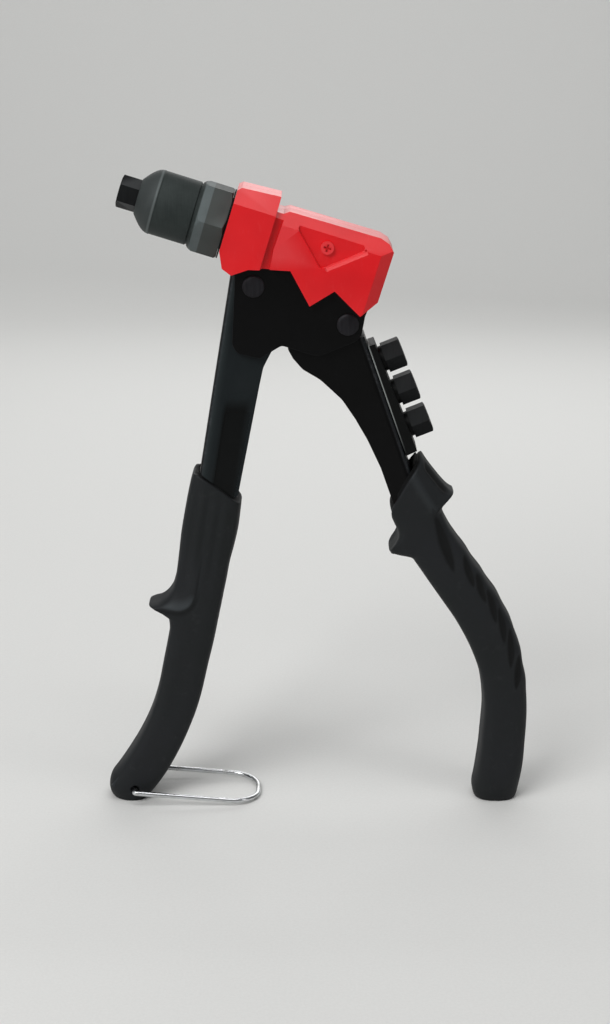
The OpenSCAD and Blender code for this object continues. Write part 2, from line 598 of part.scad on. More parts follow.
// Bar along the pulling axis with a section of [across, height] points
module along_axis(outline, s0, s1) barrel_frame() translate([s0, 0, 0]) rotate([90, 0, 90])
  linear_extrude(s1 - s0) polygon(outline);
module housing() difference() {
  union() {
    intersection() {
      head_plate(block_side, -block_half, block_half);
      along_axis(end_face(block_half, block_top, 7.4, -30), 40, 70);
    }
    intersection() {
      head_plate(flank_side, -body_half, body_half);
      along_axis(end_face(body_half, flank_top, 6.2, -30), 60, 120);
      barrel_frame() translate([0, 0, -40]) linear_extrude(80) polygon(concat(
        [[60, -body_half]], [for (p = rear_taper) [p[0], -p[1]]],
        [rear_taper[1], rear_taper[0], [60, body_half]]));
    }
  }
  // valley between block and flank
  both_sides() head_plate([[64.6, 30], [69, 30], [67.6, -2], [70.6, -30], [65.6, -30], [64.6, -2]],
    -block_half - over, -shell_in - 1.2);
  // sunk triangular panel
  both_sides() head_plate(rounded([for (p = recess) [p[0], p[1], 1.6]]),
    -body_half - over, recess_depth - body_half);
  // and the bevel along its lower rear edge
  low = recess[2];
  slope = atan2(recess[1][1] - low[1], recess[1][0] - low[0]);
  both_sides() barrel_frame() translate([low[0], -body_half, low[1]]) rotate([0, -slope, 0])
    translate([2, 0, 0.4]) rotate([90, 0, 90]) linear_extrude(bevel_len)
      polygon([[recess_depth, 0], [-over, 0], [-over, -bevel_w]]);
  // room for barrel, cheeks and lever
  bar(house_front - over, barrel_end + gap, barrel_r + gap, 64);
  head_plate([[52.2, cheek_top + gap], [house_back - house_wall, cheek_top + gap],
    [house_back - house_wall, -40], [52.2, -40]], -shell_in, shell_in);
  bar(house_back - 2 * house_wall, house_back + over, exit_r);
  both_sides() cross_bar(screw_s, screw_t, 1.5 + 0.1, -body_half, -shell_in + over, 24);
}
module housing_near() color("crimson") intersection() {
  housing();
  translate([-50, -50 - parting, -100]) cube([250, 50, 200]);
}
module housing_far() color("crimson") intersection() {
  housing();
  translate([-50, parting, -100]) cube([250, 50, 200]);
}
module housing_screws() color("silver") both_sides() difference() {
  union() {
    cross_bar(screw_s, screw_t, 1.5, -body_half + 1, -cheek_in - 0.1, 32);
    cross_bar(screw_s, screw_t, 2.7, -body_half + 0.5, -body_half + 1.9, 32);
  }
  barrel_frame() translate([screw_s, -body_half, screw_t]) rotate([90, 0, 0])
    for (a = [0, 90]) rotate([0, 0, a]) cube([3.2, 0.8, 3], center = true);
}

// Rail: wedge strip behind the lever with three screwed seats
module nosepiece_rail() color([0.05, 0.05, 0.06]) difference() {
  foot = edge(rear_top, rear_run, [-1.5, rail_len - 1], rail_off);
  union() {
    plate([foot[0], rail_at(0, 0), rail_at(rail_len, 0), foot[1]], -rail_half, rail_half);
    for (k = [0:2]) {
      p = rail_at(first_spare + k * spare_pitch, boss_h);
      translate([p[0], 0, p[1]]) rotate([0, -90 - rail_lean, 0])
        cylinder(r = nose_shank_r + 0.9, h = boss_h + over);
    }
  }
  for (k = [0:2]) {
    p = rail_at(first_spare + k * spare_pitch, boss_h + over);
    translate([p[0], 0, p[1]]) rotate([0, -90 - rail_lean, 0])
      cylinder(r = nose_shank_r + fit, h = 12, $fn = 32);
  }
}

// Grips: rubber sleeves lofted along the handles. Each row of a form is one ring:
// [distance along the centre line, half width towards the nose, half width towards the back]
front_form = [[45.6, 10.1, 12.2], [52, 10.9, 12.5], [60, 11.3, 12.7], [70, 11.5, 12.2], [80, 11.1, 11.4],
  [88, 10.9, 11.2], [95, 11.5, 10.9], [98.2, 12.6, 10.8], [101.4, 14.6, 10.7], [103.6, 17.2, 10.6],
  [105.3, 20.7, 10.6], [107.3, 15.4, 10.5], [109.6, 11.2, 10.5], [116, 9.8, 10.4], [130, 9.7, 10],
  [145, 9.3, 10], [160, 9, 9.8], [175, 9.1, 9.8], [188, 9.3, 9.8]];
rear_form = [[65.3, 7.2, 12.2], [66.3, 8.8, 12.4], [70, 9, 13.1], [74.5, 9.2, 14.6], [77, 9.8, 15.8],
  [78.8, 11.4, 16.8], [79.9, 13.8, 17.6], [80.7, 16.4, 18.9], [81.1, 17, 14.4], [81.9, 17, 12.2],
  [84.4, 17, 11.2], [85.6, 16.4, 11], [92.2, 10.4, 10.6], [110, 10.5, 10.6], [130, 10.5, 10.7],
  [145, 10.1, 10.7], [160, 9.5, 10.1], [175, 9.5, 9.9], [190, 9.8, 10], [202, 9.5, 10]];
// Mouths [lean of the mouth's plane, distance at which the lean has faded]
front_mouth = [0.5, 80];
rear_mouth = [-0.96, 86];
// Domed ends: last full ring and tip, as distances past the standing surface, and the ring's half widths
front_dome = [-6.7, 1.5, 9.5, 9.8];
rear_dome = [-5, 4, 9.2, 10];
// Ribs on the back of the rear grip: first, last, pitch and height
rib_form = [96, 170, 12.3, 0.8];
grip_sides = 32;
function power(v, p) = sign(v) * pow(abs(v), p);
// One ring of a grip in the row frame: the plane of the ring leans by k over the centre line
function grip_ring(p, k, neg, pos, half, size = 1, squareness = 0.5) =
  [for (i = [0:grip_sides - 1]) let (a = 360 * i / grip_sides, c = power(cos(a), squareness),
    u = (c < 0 ? neg : pos) * c * size, v = half * power(sin(a), squareness) * size)
    [p[0] + u * (cos(p[2]) + k * sin(p[2])), v, p[1] + u * (sin(p[2]) - k * cos(p[2]))]];
// One ring of the pocket for the channel, a rectangle [towards the nose, towards the back, half width]
function pocket_ring(p, k, size, r = 0.6) =
  [for (i = [0:grip_sides - 1]) let (c = cos(360 * i / grip_sides), q = sin(360 * i / grip_sides),
    u = (c < 0 ? r - size[0] : size[1] - r) + r * c, v = sign(round(q * 1000)) * (size[2] - r) + r * q)
    [p[0] + u * (cos(p[2]) + k * sin(p[2])), v, p[1] + u * (sin(p[2]) - k * cos(p[2]))]];
function fade(x, a, b) = min(1, max(0, (x - a) / (b - a)));
// Skin over outer rings, then the mouth and the inner rings of the pocket for the handle
module skin(outer, inner) {
  n = grip_sides;
  rings = concat([for (i = [len(outer) - 1:-1:0]) outer[i]], inner);
  m = len(rings);
  polyhedron([for (r = rings) each r], concat(
    [[for (k = [0:n - 1]) k]],
    [for (i = [0:m - 2]) for (k = [0:n - 1]) let (q = (k + 1) % n) each
      [[i * n + k, (i + 1) * n + k, i * n + q], [i * n + q, (i + 1) * n + k, (i + 1) * n + q]]],
    [[for (k = [n - 1:-1:0]) (m - 1) * n + k]]));
}
// Grip with a leaning mouth, a domed end and a pocket that ends at pocket_end, leaning by foot_k
module grip(top, run, rows, mouth, length, dome, pocket, pocket_end, foot_k, ribbed) {
  rim = rows[0][0];
  full = length + dome[0];
  tip = length + dome[1];
  form = concat([for (f = rows) if (f[0] < full - 1) f], [[full, dome[2], dome[3]]]);
  neg = [for (f = form) [f[0], f[1]]];
  pos = [for (f = form) [f[0], f[2]]];
  stations = [for (i = [0:len(form) - 2])
    let (a = form[i][0], b = form[i + 1][0], n = ceil((b - a) / 3.3))
      for (j = [0:n - 1]) a + (b - a) * j / n];
  function rib(d) = !ribbed || d < rib_form[0] || d > rib_form[1] ? 0
    : rib_form[3] * pow(sin((d - rib_form[0]) * 180 / rib_form[2]), 2);
  outer = concat([for (d = stations)
      grip_ring(along(top, run, d), mouth[0] * (1 - fade(d, rim, mouth[1])), lookup(d, neg),
        lookup(d, pos) + rib(d), grip_half)],
    [for (q = [0, 0.42, 0.7, 0.88, 1])
      grip_ring(along(top, run, full + (tip - full) * q), 0, lookup(full, neg), lookup(full, pos),
        grip_half, sqrt(1 - 0.75 * q * q))]);
  inner = concat([pocket_ring(along(top, run, rim), mouth[0], pocket)],
    [for (d = [rim + 12:9:pocket_end - 5]) pocket_ring(along(top, run, d), 0, pocket)],
    [pocket_ring(along(top, run, pocket_end), foot_k, pocket)]);
  difference() {
    skin(outer, inner);
    foot_cutter(0);
  }
}
module front_grip() color([0.14, 0.15, 0.16]) difference() {
  grip(front_top, front_run, front_form, front_mouth, front_len, front_dome,
    [front_tang + gap, front_tang + gap, front_tang_half + gap], front_end + 1.5, -0.25, false);
  translate([peg[0], 0, peg[1]]) rotate([90, 0, 0])
    cylinder(r = bail_wire / 2 + gap, h = 4 * grip_half, center = true, $fn = 24);
}
module rear_grip() color([0.14, 0.15, 0.16])
  grip(rear_top, rear_run, rear_form, rear_mouth, rear_len, rear_dome,
    [rear_edge + gap, rear_tang + gap, lever_out + gap], rear_end + gap, 0, true);

// Bail: spring wire with two pegs in the front arm and a loop that holds the closed handles
module lock_bail() color("gainsboro") {
  r = bail_wire / 2;
  leg_y = bail_width / 2;
  long = bail_len - r;
  translate([peg[0], 0, peg[1]]) rotate([0, asin(bail_drop / bail_len), 0]) both_sides() {
    translate([0, -leg_y + r, 0]) rotate([-90, 0, 0]) cylinder(r = r, h = leg_y - r - peg_in, $fn = 32);
    translate([r, -leg_y + r, 0]) rotate([0, 0, 180]) rotate_extrude(angle = 90, $fn = 48)
      translate([r, 0]) circle(r, $fn = 32);
    translate([r, -leg_y, 0]) rotate([0, 90, 0]) cylinder(r = r, h = long - bail_corner - r, $fn = 32);
    translate([long - bail_corner, -leg_y + bail_corner, 0]) rotate([0, 0, -90])
      rotate_extrude(angle = 90, $fn = 48) translate([bail_corner, 0]) circle(r, $fn = 32);
    translate([long, -leg_y + bail_corner, 0]) rotate([-90, 0, 0])
      cylinder(r = r, h = leg_y - bail_corner, $fn = 32);
  }
}

nosepiece();
spare_nosepiece_a();
spare_nosepiece_b();
spare_nosepiece_c();
nose_sleeve();
nose_ring();
barrel();
jaw_case();
jaw_top();
jaw_near();
jaw_far();
jaw_pusher();
jaw_spring();
puller();
puller_pins();
cheek_near();
cheek_far();
front_arm();
arm_rivet();
rear_lever();
pivot_pin();
pivot_clip();
pivot_washers();
pivot_bush();
opening_spring();
housing_near();
housing_far();
housing_screws();
nosepiece_rail();
front_grip();
rear_grip();
lock_bail();
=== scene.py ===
"""Blind riveting pliers, open and standing on their handle ends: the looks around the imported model."""

import math

import bmesh
import bpy
import numpy as np
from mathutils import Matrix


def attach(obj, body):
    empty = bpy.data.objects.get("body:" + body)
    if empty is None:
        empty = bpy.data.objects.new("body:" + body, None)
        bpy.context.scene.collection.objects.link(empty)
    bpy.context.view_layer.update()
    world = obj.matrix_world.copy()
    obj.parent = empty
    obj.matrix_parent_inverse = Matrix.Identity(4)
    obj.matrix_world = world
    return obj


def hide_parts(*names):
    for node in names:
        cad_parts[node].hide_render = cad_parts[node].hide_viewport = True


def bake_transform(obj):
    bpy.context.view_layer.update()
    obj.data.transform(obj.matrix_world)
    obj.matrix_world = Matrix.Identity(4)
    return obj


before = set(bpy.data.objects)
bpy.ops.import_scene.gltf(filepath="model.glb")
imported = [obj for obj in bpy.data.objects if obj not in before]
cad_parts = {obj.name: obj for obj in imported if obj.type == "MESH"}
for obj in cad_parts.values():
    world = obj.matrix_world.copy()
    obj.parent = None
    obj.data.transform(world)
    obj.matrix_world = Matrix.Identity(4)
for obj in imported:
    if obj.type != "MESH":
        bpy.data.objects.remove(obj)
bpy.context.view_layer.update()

MM = 0.001

# Places that pieces and finishes share, in mm and radians
TILT = math.radians(17.3)  # how far the pulling axis falls from the nose to the back
STAND = -272.4  # height of the standing surface
ARM_SLOPE = math.tan(math.radians(9.4))  # the arm's outer edge moves this far to the front per mm down
ARM_EDGE = 37.8 + 82 * ARM_SLOPE  # where that edge, carried up, is at height 0
ARM_FACE = 9.45  # half thickness of the arm over its faces
ARM_PAINTED_SHEEN = (4.5, 1)  # painted sheen on the arm's outer edge, stronger and stronger between these distances in from it
DARKER_MIDDLE_FRONT = (5.2, 7.2)  # soft borders of the arm's darker middle stretch, in from the same edge
DARKER_MIDDLE_BACK = (18, 15)
DARKER_MIDDLE_TOP = (-86, -90.5)  # heights
RAIL_EDGE = 6.3  # offset of the rail's painted highlight line from the lever's centre line
RAIL_HIGHLIGHT_FADE = 48  # where the painted highlight ends, down from the start of that line

# Centre lines of the two handles in mm: start x, z and lean, then stretches of length and turn
FRONT = ((45.6, -80, -9.3), [(94.3, 0), (44, -3.8), (60, -26.1)])
REAR = ((97.85, -67.6, 19.4), [(62.4, 0), (27.6, 15.2), (31.6, 0), (60, -35.6), (40, -14)])

# Shader maths


class Wire:
    """A shader socket that does arithmetic: each operator adds one Math node."""

    def __init__(self, finish, socket):
        self.finish = finish
        self.socket = socket

    def math(self, operation, *values):
        """A Math node on values or wires."""
        return self.finish.node("Math", {"operation": operation}, dict(enumerate(values)))[0]

    def __add__(self, other):
        return self.math("ADD", self, other)

    def __sub__(self, other):
        return self.math("SUBTRACT", self, other)

    def __rsub__(self, other):
        return self.math("SUBTRACT", other, self)

    def __mul__(self, other):
        return self.math("MULTIPLY", self, other)

    def __abs__(self):
        return self.math("ABSOLUTE", self)

    __radd__ = __add__
    __rmul__ = __mul__

    def rise(self, low, high):
        """0 below low, 1 above high and straight between them; low may be the larger."""
        return self.finish.node("MapRange", {"clamp": True}, {0: self, 1: low, 2: high, 3: 0.0, 4: 1.0})[0]

    def rise_mm(self, low, high):
        """The same for a wire in metres, with its limits in mm."""
        return self.rise(low * MM, high * MM)


class Outputs:
    """The outputs of a node, each given as a wire."""

    def __init__(self, finish, node):
        self.finish = finish
        self.node = node

    def __getitem__(self, key):
        return Wire(self.finish, self.node.outputs[key])


def linear(level):
    """One channel of a screen colour as light: v / 12.92 when dark, otherwise ((v + 0.055) / 1.055)^2.4."""
    share = level / 255
    return share / 12.92 if share <= 0.04045 else ((share + 0.055) / 1.055) ** 2.4


def tint(red, green, blue):
    """Screen colour, 0 to 255, as scene-linear red, green, blue and alpha."""
    return linear(red), linear(green), linear(blue), 1.0


def lighter(colour, step):
    """A screen colour with each channel a step higher."""
    return [min(255, level + step) for level in colour]


class Finish:
    """A material: one Principled shader and the nodes that vary it."""

    def __init__(self, name, **constants):
        self.material = bpy.data.materials.new(name)
        self.material.use_nodes = True
        self.tree = self.material.node_tree
        self.tree.nodes.clear()
        surface = self.tree.nodes.new("ShaderNodeOutputMaterial")
        self.shader = self.tree.nodes.new("ShaderNodeBsdfPrincipled")
        self.tree.links.new(self.shader.outputs[0], surface.inputs[0])
        self.end(**constants)

    def put(self, node, sockets):
        """Gives each socket its value, or links it where that is a wire."""
        for key, value in sockets.items():
            if isinstance(value, Wire):
                self.tree.links.new(value.socket, node.inputs[key])
            else:
                node.inputs[key].default_value = value

    def node(self, kind, settings=None, sockets=None):
        """Adds a node: its settings first, then the values or links of its sockets."""
        node = self.tree.nodes.new("ShaderNode" + kind)
        for key, value in (settings or {}).items():
            setattr(node, key, value)
        self.put(node, sockets or {})
        return Outputs(self, node)

    def place(self, scale=(1, 1, 1), turn=(0, 0, 0)):
        """Object coordinates, scaled along each axis and then turned."""
        sockets = {"Vector": self.node("TexCoord")["Object"], "Rotation": turn, "Scale": scale}
        return self.node("Mapping", None, sockets)["Vector"]

    def axes(self, vector):
        return self.node("SeparateXYZ", None, {0: vector})

    def noise(self, at, scale, detail, rough=0.55):
        sockets = {"Vector": at, "Scale": scale, "Detail": detail, "Roughness": rough}
        return self.node("TexNoise", None, sockets)["Fac"]

    def cells(self, at, scale):
        return self.node("TexVoronoi", None, {"Vector": at, "Scale": scale})["Distance"]

    def blend(self, factor, first, second):
        return self.node("Mix", {"data_type": "RGBA"}, {0: factor, 6: first, 7: second})[2]

    def bump(self, height, depth, strength):
        """Normal of a height, of which 1 stands for a depth in mm."""
        sockets = {"Height": height, "Distance": depth * MM, "Strength": strength}
        return self.node("Bump", None, sockets)["Normal"]

    def edges(self, low, high):
        """Mask of outward edges: wear on steel and rubber, a painted highlight on the red moulding."""
        return self.node("NewGeometry")["Pointiness"].rise(low, high)

    def end(self, **sockets):
        """Gives the shader its values and links, with _ for a space in a socket's name."""
        self.put(self.shader, {name.replace("_", " "): value for name, value in sockets.items()})
        return self.material


def red_moulding():
    """Glossy moulded red: slow flow variation, a fine grain, a painted highlight along the edges and a few
    pale scuffs.
    """
    finish = Finish("red_moulding", Coat_Roughness=0.1, Specular_IOR_Level=0.3)
    place = finish.place()
    flow = finish.noise(place, 34, 2)
    grain = finish.noise(place, 1500, 2)
    scuff = finish.noise(finish.place((900, 90, 300)), 1, 3).rise(0.60, 0.74)
    edge = finish.edges(0.525, 0.6)
    colour = finish.blend(flow.rise(0.35, 0.68), tint(224, 24, 31), tint(206, 15, 23))
    # painted highlight: the edges are painted paler pink
    colour = finish.blend(edge * 0.3, colour, tint(238, 92, 96))
    colour = finish.blend(scuff * 0.1, colour, tint(228, 88, 90))
    rough = 0.27 + flow * 0.10 + scuff * 0.04
    coat = 0.06 + flow * 0.1
    normal = finish.bump(grain * 0.35 + flow * 2.0, 0.05, 0.5)
    return finish.end(Base_Color=colour, Roughness=rough, Coat_Weight=coat, Normal=normal)


def black_enamel(name="black_enamel", dark=(3, 3, 3), pale=(6, 6, 7), shade=None):
    """Satin black enamel on pressed sheet: orange peel, hairline scratches, and paler edges, part wear and
    part painted highlight, where the normal turns between the side and the rim of the sheet. shade adds
    a piece's own shades."""
    finish = Finish(name, Specular_IOR_Level=0.13)
    place = finish.place()
    slow = finish.noise(place, 45, 3)
    peel = finish.noise(place, 620, 2)
    hair = finish.noise(finish.place((240, 2400, 1900), (0, 0.35, 0)), 1, 3).rise(0.68, 0.74)
    facing = finish.axes(finish.node("TexCoord")["Normal"])["Y"]
    side = facing * facing
    edge = (side * (1 - side)).rise(0.1, 0.24)
    chips = finish.noise(place, 420, 4, 0.7).rise(0.54, 0.62) * edge
    colour = finish.blend(slow.rise(0.3, 0.7), tint(*dark), tint(*pale))
    if shade:
        colour = shade(finish, place, colour)
    # painted highlight on the folds, with some edge wear: the edges are painted paler
    colour = finish.blend(edge * 0.4, colour, tint(48, 51, 54))
    colour = finish.blend(chips * 0.4, colour, tint(84, 86, 89))
    colour = finish.blend(hair * 0.06, colour, tint(60, 62, 66))
    rough = 0.3 + slow * 0.14 + hair * 0.12
    normal = finish.bump(peel, 0.06, 0.35)
    return finish.end(Base_Color=colour, Roughness=rough, Metallic=chips * 0.7, Normal=normal)


def arm_shades(finish, place, colour):
    """The arm's own shades: a painted sheen along its outer edge, darker down the middle of its lower
    stretch, and painted shade wherever the metal lies deeper than the faces."""
    at = finish.axes(place)
    sunk_painted_shade = abs(at["Y"]).rise_mm(ARM_FACE - 0.2, ARM_FACE - 0.5)
    inward = at["X"] - at["Z"] * ARM_SLOPE - ARM_EDGE * MM
    painted_sheen = inward.rise_mm(*ARM_PAINTED_SHEEN)
    darker_middle = inward.rise_mm(*DARKER_MIDDLE_FRONT) * inward.rise_mm(*DARKER_MIDDLE_BACK) * at["Z"].rise_mm(*DARKER_MIDDLE_TOP)
    # painted reflection: the arm's outer edge is painted paler
    colour = finish.blend(painted_sheen * 0.5, colour, tint(46, 53, 54))
    colour = finish.blend(darker_middle * 0.9, colour, tint(3, 4, 4))
    # painted shade where the metal lies deeper than the faces
    return finish.blend(sunk_painted_shade * 0.95, colour, tint(2, 2, 2))


def turned_steel(name, dark, pale, metal, rough, marks=5200, painted_light_bands=(), shine=0.22):
    """Machined steel: fine tool marks, oily patches and bright edges. bands are stretches painted in another
    shade as painted light: start and end back along the pulling axis in mm, strength and colour."""
    finish = Finish(name, Specular_IOR_Level=shine)
    place = finish.place()
    lines = finish.noise(finish.place((marks, 90, 90), (0, -TILT, 0)), 1, 2)
    patch = finish.noise(place, 130, 4, 0.6)
    edge = finish.edges(0.56, 0.63)
    colour = finish.blend(patch.rise(0.32, 0.7), tint(*dark), tint(*pale))
    if painted_light_bands:
        at = finish.axes(place)
        back = at["X"] * (math.cos(TILT) / MM) - at["Z"] * (math.sin(TILT) / MM)
    # each band paints its stretch lighter, as painted light
    for start, end, strength, shade in painted_light_bands:
        inside = back.rise(start - 0.25, start + 0.25) - back.rise(end - 0.25, end + 0.25)
        colour = finish.blend(inside * (0.7 + patch * 0.6) * strength, colour, tint(*shade))
    colour = finish.blend(lines.rise(0.35, 0.75) * 0.25, colour, tint(*lighter(pale, 22)))
    colour = finish.blend(edge * 0.5, colour, tint(*lighter(pale, 50)))
    ground = rough + patch * 0.16 - edge * 0.08
    normal = finish.bump(lines, 0.03, 0.5)
    return finish.end(Base_Color=colour, Roughness=ground, Metallic=metal, Normal=normal)


def drawn_wire(name, bright, dull, rough):
    """Drawn wire: bright, with faint die lines and a little tarnish."""
    finish = Finish(name, Metallic=1.0)
    tarnish = finish.noise(finish.place(), 260, 4, 0.6)
    lines = finish.noise(finish.place((300, 3800, 3800)), 1, 2)
    colour = finish.blend(tarnish.rise(0.45, 0.75), tint(*bright), tint(*dull))
    normal = finish.bump(lines, 0.02, 0.4)
    return finish.end(Base_Color=colour, Roughness=rough + tarnish.rise(0.4, 0.8) * 0.2, Normal=normal)


def grip_rubber():
    """Soft dark rubber: fine pebble grain, painted shade in the hollows, a painted highlight on the crests,
    greyer worn edges and a little dust. The relief attribute holds the height of hollows and crests in mm."""
    finish = Finish("grip_rubber", Specular_IOR_Level=0.27)
    place = finish.place()
    relief = finish.node("Attribute", {"attribute_name": "relief"})["Fac"]
    hollow_painted_shade = relief.rise(-0.1, -0.85)
    crest_painted_highlight = relief.rise(0.1, 0.8)
    slow = finish.noise(place, 28, 3)
    pebble = finish.cells(place, 1700)
    fine = finish.noise(place, 3000, 2)
    worn = finish.edges(0.505, 0.56)
    dust = finish.noise(place, 190, 4, 0.65).rise(0.58, 0.72)
    colour = finish.blend(slow.rise(0.3, 0.7), tint(17, 21, 22), tint(25, 27, 30))
    colour = finish.blend(worn * 0.4, colour, tint(54, 58, 62))
    colour = finish.blend(dust * 0.12, colour, tint(64, 66, 66))
    # painted light: crests painted pale as a highlight, hollows painted near black as shade
    colour = finish.blend(crest_painted_highlight * 0.6, colour, tint(66, 71, 74))
    colour = finish.blend(hollow_painted_shade * 0.92, colour, tint(3, 4, 4))
    rough = 0.52 + slow * 0.16 + fine * 0.06 + hollow_painted_shade * 0.15
    normal = finish.bump(pebble * 0.8 + fine * 0.3, 0.09, 0.45)
    return finish.end(Base_Color=colour, Roughness=rough, Normal=normal)


def dark_plastic(name="dark_plastic", painted_highlight=None):
    """Black moulded plastic with a fine spark texture, and optionally a painted highlight: a function that
    gives the mask of a stretch painted pale.
    """
    finish = Finish(name, Specular_IOR_Level=0.13)
    place = finish.place()
    slow = finish.noise(place, 60, 3)
    spark = finish.noise(place, 2600, 3, 0.7)
    colour = finish.blend(slow.rise(0.3, 0.7), tint(4, 5, 5), tint(9, 10, 10))
    if painted_highlight:
        colour = finish.blend(painted_highlight(finish, place) * (0.55 + slow * 0.6), colour, tint(150, 154, 152))
    rough = 0.46 + slow * 0.12
    return finish.end(Base_Color=colour, Roughness=rough, Normal=finish.bump(spark, 0.05, 0.5))


def rail_painted_highlight(finish, place):
    """Mask of a painted highlight along the rail's edge next to the lever, fading out down the lever's
    centre line.
    """
    x, z, lean = REAR[0]
    lean = math.radians(lean)
    at = finish.axes(place)
    back = at["X"] - x * MM
    up = at["Z"] - z * MM
    off = back * math.cos(lean) + up * math.sin(lean)
    down = back * math.sin(lean) - up * math.cos(lean)
    return off.rise_mm(RAIL_EDGE + 0.6, RAIL_EDGE + 0.3) * down.rise_mm(RAIL_HIGHLIGHT_FADE, RAIL_HIGHLIGHT_FADE * 0.55)


RED = red_moulding()
BLACK = black_enamel()
# The arm's enamel is a paler copy of the black enamel: its paler base and edge sheen are painted reflection,
# and it carries painted shade where the metal lies deeper
ARM_BLACK_PAINTED_SHEEN = black_enamel("arm_enamel_painted_sheen", (21, 26, 28), (27, 32, 34), arm_shades)
NOSE_STEEL = turned_steel("nose_steel", (11, 12, 13), (18, 20, 21), 0.05, 0.5, shine=0.13)
# painted light on the sleeve: the cone and the hex painted paler where light falls on them, and painted
# highlights at the shoulder and over the front of the hex
SLEEVE_STEEL = turned_steel("sleeve_steel", (36, 42, 41), (46, 52, 51), 0.3, 0.52, painted_light_bands=[
    (5.5, 15.1, 0.75, (62, 66, 66)), (15.1, 16.1, 0.7, (100, 106, 106)),
    (33.8, 37.6, 0.75, (102, 110, 111)), (37.6, 46.0, 0.7, (76, 79, 77))])
BRIGHT_STEEL = turned_steel("bright_steel", (150, 150, 147), (185, 184, 180), 1.0, 0.26)
RIVET_STEEL = turned_steel("rivet_steel", (18, 17, 20), (28, 27, 31), 0.3, 0.4, marks=900)
SPRING_WIRE = drawn_wire("spring_wire", (120, 121, 120), (84, 82, 80), 0.3)
BAIL_WIRE = drawn_wire("bail_wire", (214, 216, 218), (172, 172, 170), 0.16)
RUBBER = grip_rubber()
PLASTIC = dark_plastic()
# the rail's edge next to the lever gets a painted highlight line
RAIL = dark_plastic("rail_plastic", rail_painted_highlight)

# Shapes in general


def on_axis(back, across, above):
    """Places in mm back along, across and above the pulling axis, as metres in the shared frame:
    x = back cos(tilt) + above sin(tilt), y = across, z = above cos(tilt) - back sin(tilt)."""
    back, across, above = np.broadcast_arrays(back, across, above)
    x = back * math.cos(TILT) + above * math.sin(TILT)
    z = above * math.cos(TILT) - back * math.sin(TILT)
    return np.stack([x, across * 1.0, z], -1) * MM


def show(name, data):
    """A new object in the scene."""
    piece = bpy.data.objects.new(name, data)
    bpy.context.scene.collection.objects.link(piece)
    return piece


def build(name, points, faces, finish, body, sharp=40, relief=None):
    """A mesh from points [n, 3] in metres and faces [m, 3 or 4]; relief is a height in mm per point, kept as
    an attribute from which the rubber paints shade and highlight.
    """
    mesh = bpy.data.meshes.new(name)
    mesh.from_pydata(points.tolist(), [], faces)
    mesh.update()
    mesh.materials.append(finish)
    if relief is not None:
        mesh.attributes.new("relief", "FLOAT", "POINT").data.foreach_set("value", relief)
    mesh.shade_smooth()
    mesh.set_sharp_from_angle(angle=math.radians(sharp))
    piece = show(name, mesh)
    if body:
        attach(piece, body)
    return piece


def loft(grid):
    """Faces over rings of points, grid [rings, around, 3]: a quad between each four neighbours,
    and a fan to a middle point over the first and the last ring."""
    rings, around = grid.shape[:2]
    row, here = np.meshgrid(np.arange(rings - 1), np.arange(around), indexing="ij")
    after = (here + 1) % around
    row = row * around
    below = row + around
    quads = np.stack([row + here, below + here, below + after, row + after], -1).reshape(-1, 4)
    points = np.vstack([grid.reshape(-1, 3), grid[0].mean(0), grid[-1].mean(0)])
    here = np.arange(around)
    after = (here + 1) % around
    bottom = (rings - 1) * around
    first = np.stack([np.full(around, rings * around), here, after], -1)
    last = np.stack([np.full(around, rings * around + 1), bottom + after, bottom + here], -1)
    return points, quads.tolist() + first.tolist() + last.tolist()


def tube(path, radius, sides=20):
    """A round wire: rings of one radius round each point of a path, square to its direction."""
    along = np.gradient(path, axis=0)
    along /= np.linalg.norm(along, axis=1, keepdims=True)
    helper = np.where(np.abs(along[:, 1:2]) > 0.9, [[1.0, 0, 0]], [[0, 1.0, 0]])
    out = np.cross(along, helper)
    out /= np.linalg.norm(out, axis=1, keepdims=True)
    side = np.cross(along, out)
    angle = np.linspace(0, 2 * np.pi, sides, endpoint=False)[None, :, None]
    return path[:, None] + radius * (out[:, None] * np.cos(angle) + side[:, None] * np.sin(angle))


MERGED = 2e-6  # points of a CAD mesh this close, in metres, are one
FLAT = math.radians(0.6)  # faces that meet at less are one
SHARP = math.radians(30)  # edges that turn more stay crisp in the shading


def softened(node, finish, body, width, angle=28, segments=3):
    """A copy of a CAD node with its doubles merged and the edges over an angle rounded by a bevel whose
    width is in mm."""
    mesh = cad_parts[node].data.copy()
    mesh.name = node + "_skin"
    work = bmesh.new()
    work.from_mesh(mesh)
    bmesh.ops.remove_doubles(work, verts=work.verts, dist=MERGED)
    bmesh.ops.dissolve_limit(work, angle_limit=FLAT, verts=work.verts, edges=work.edges)
    work.to_mesh(mesh)
    work.free()
    mesh.materials.clear()
    mesh.materials.append(finish)
    mesh.shade_smooth()
    mesh.set_sharp_from_angle(angle=SHARP)
    piece = show(node + "_skin", mesh)
    bevel = piece.modifiers.new("rounded", "BEVEL")
    bevel.width = width * MM
    bevel.segments = segments
    bevel.limit_method = "ANGLE"
    bevel.angle_limit = math.radians(angle)
    bevel.harden_normals = True
    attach(piece, body)
    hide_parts(node)


def painted(finish, *nodes):
    """CAD nodes that keep their shape and only get a finish."""
    for node in nodes:
        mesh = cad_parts[node].data
        mesh.materials.clear()
        mesh.materials.append(finish)


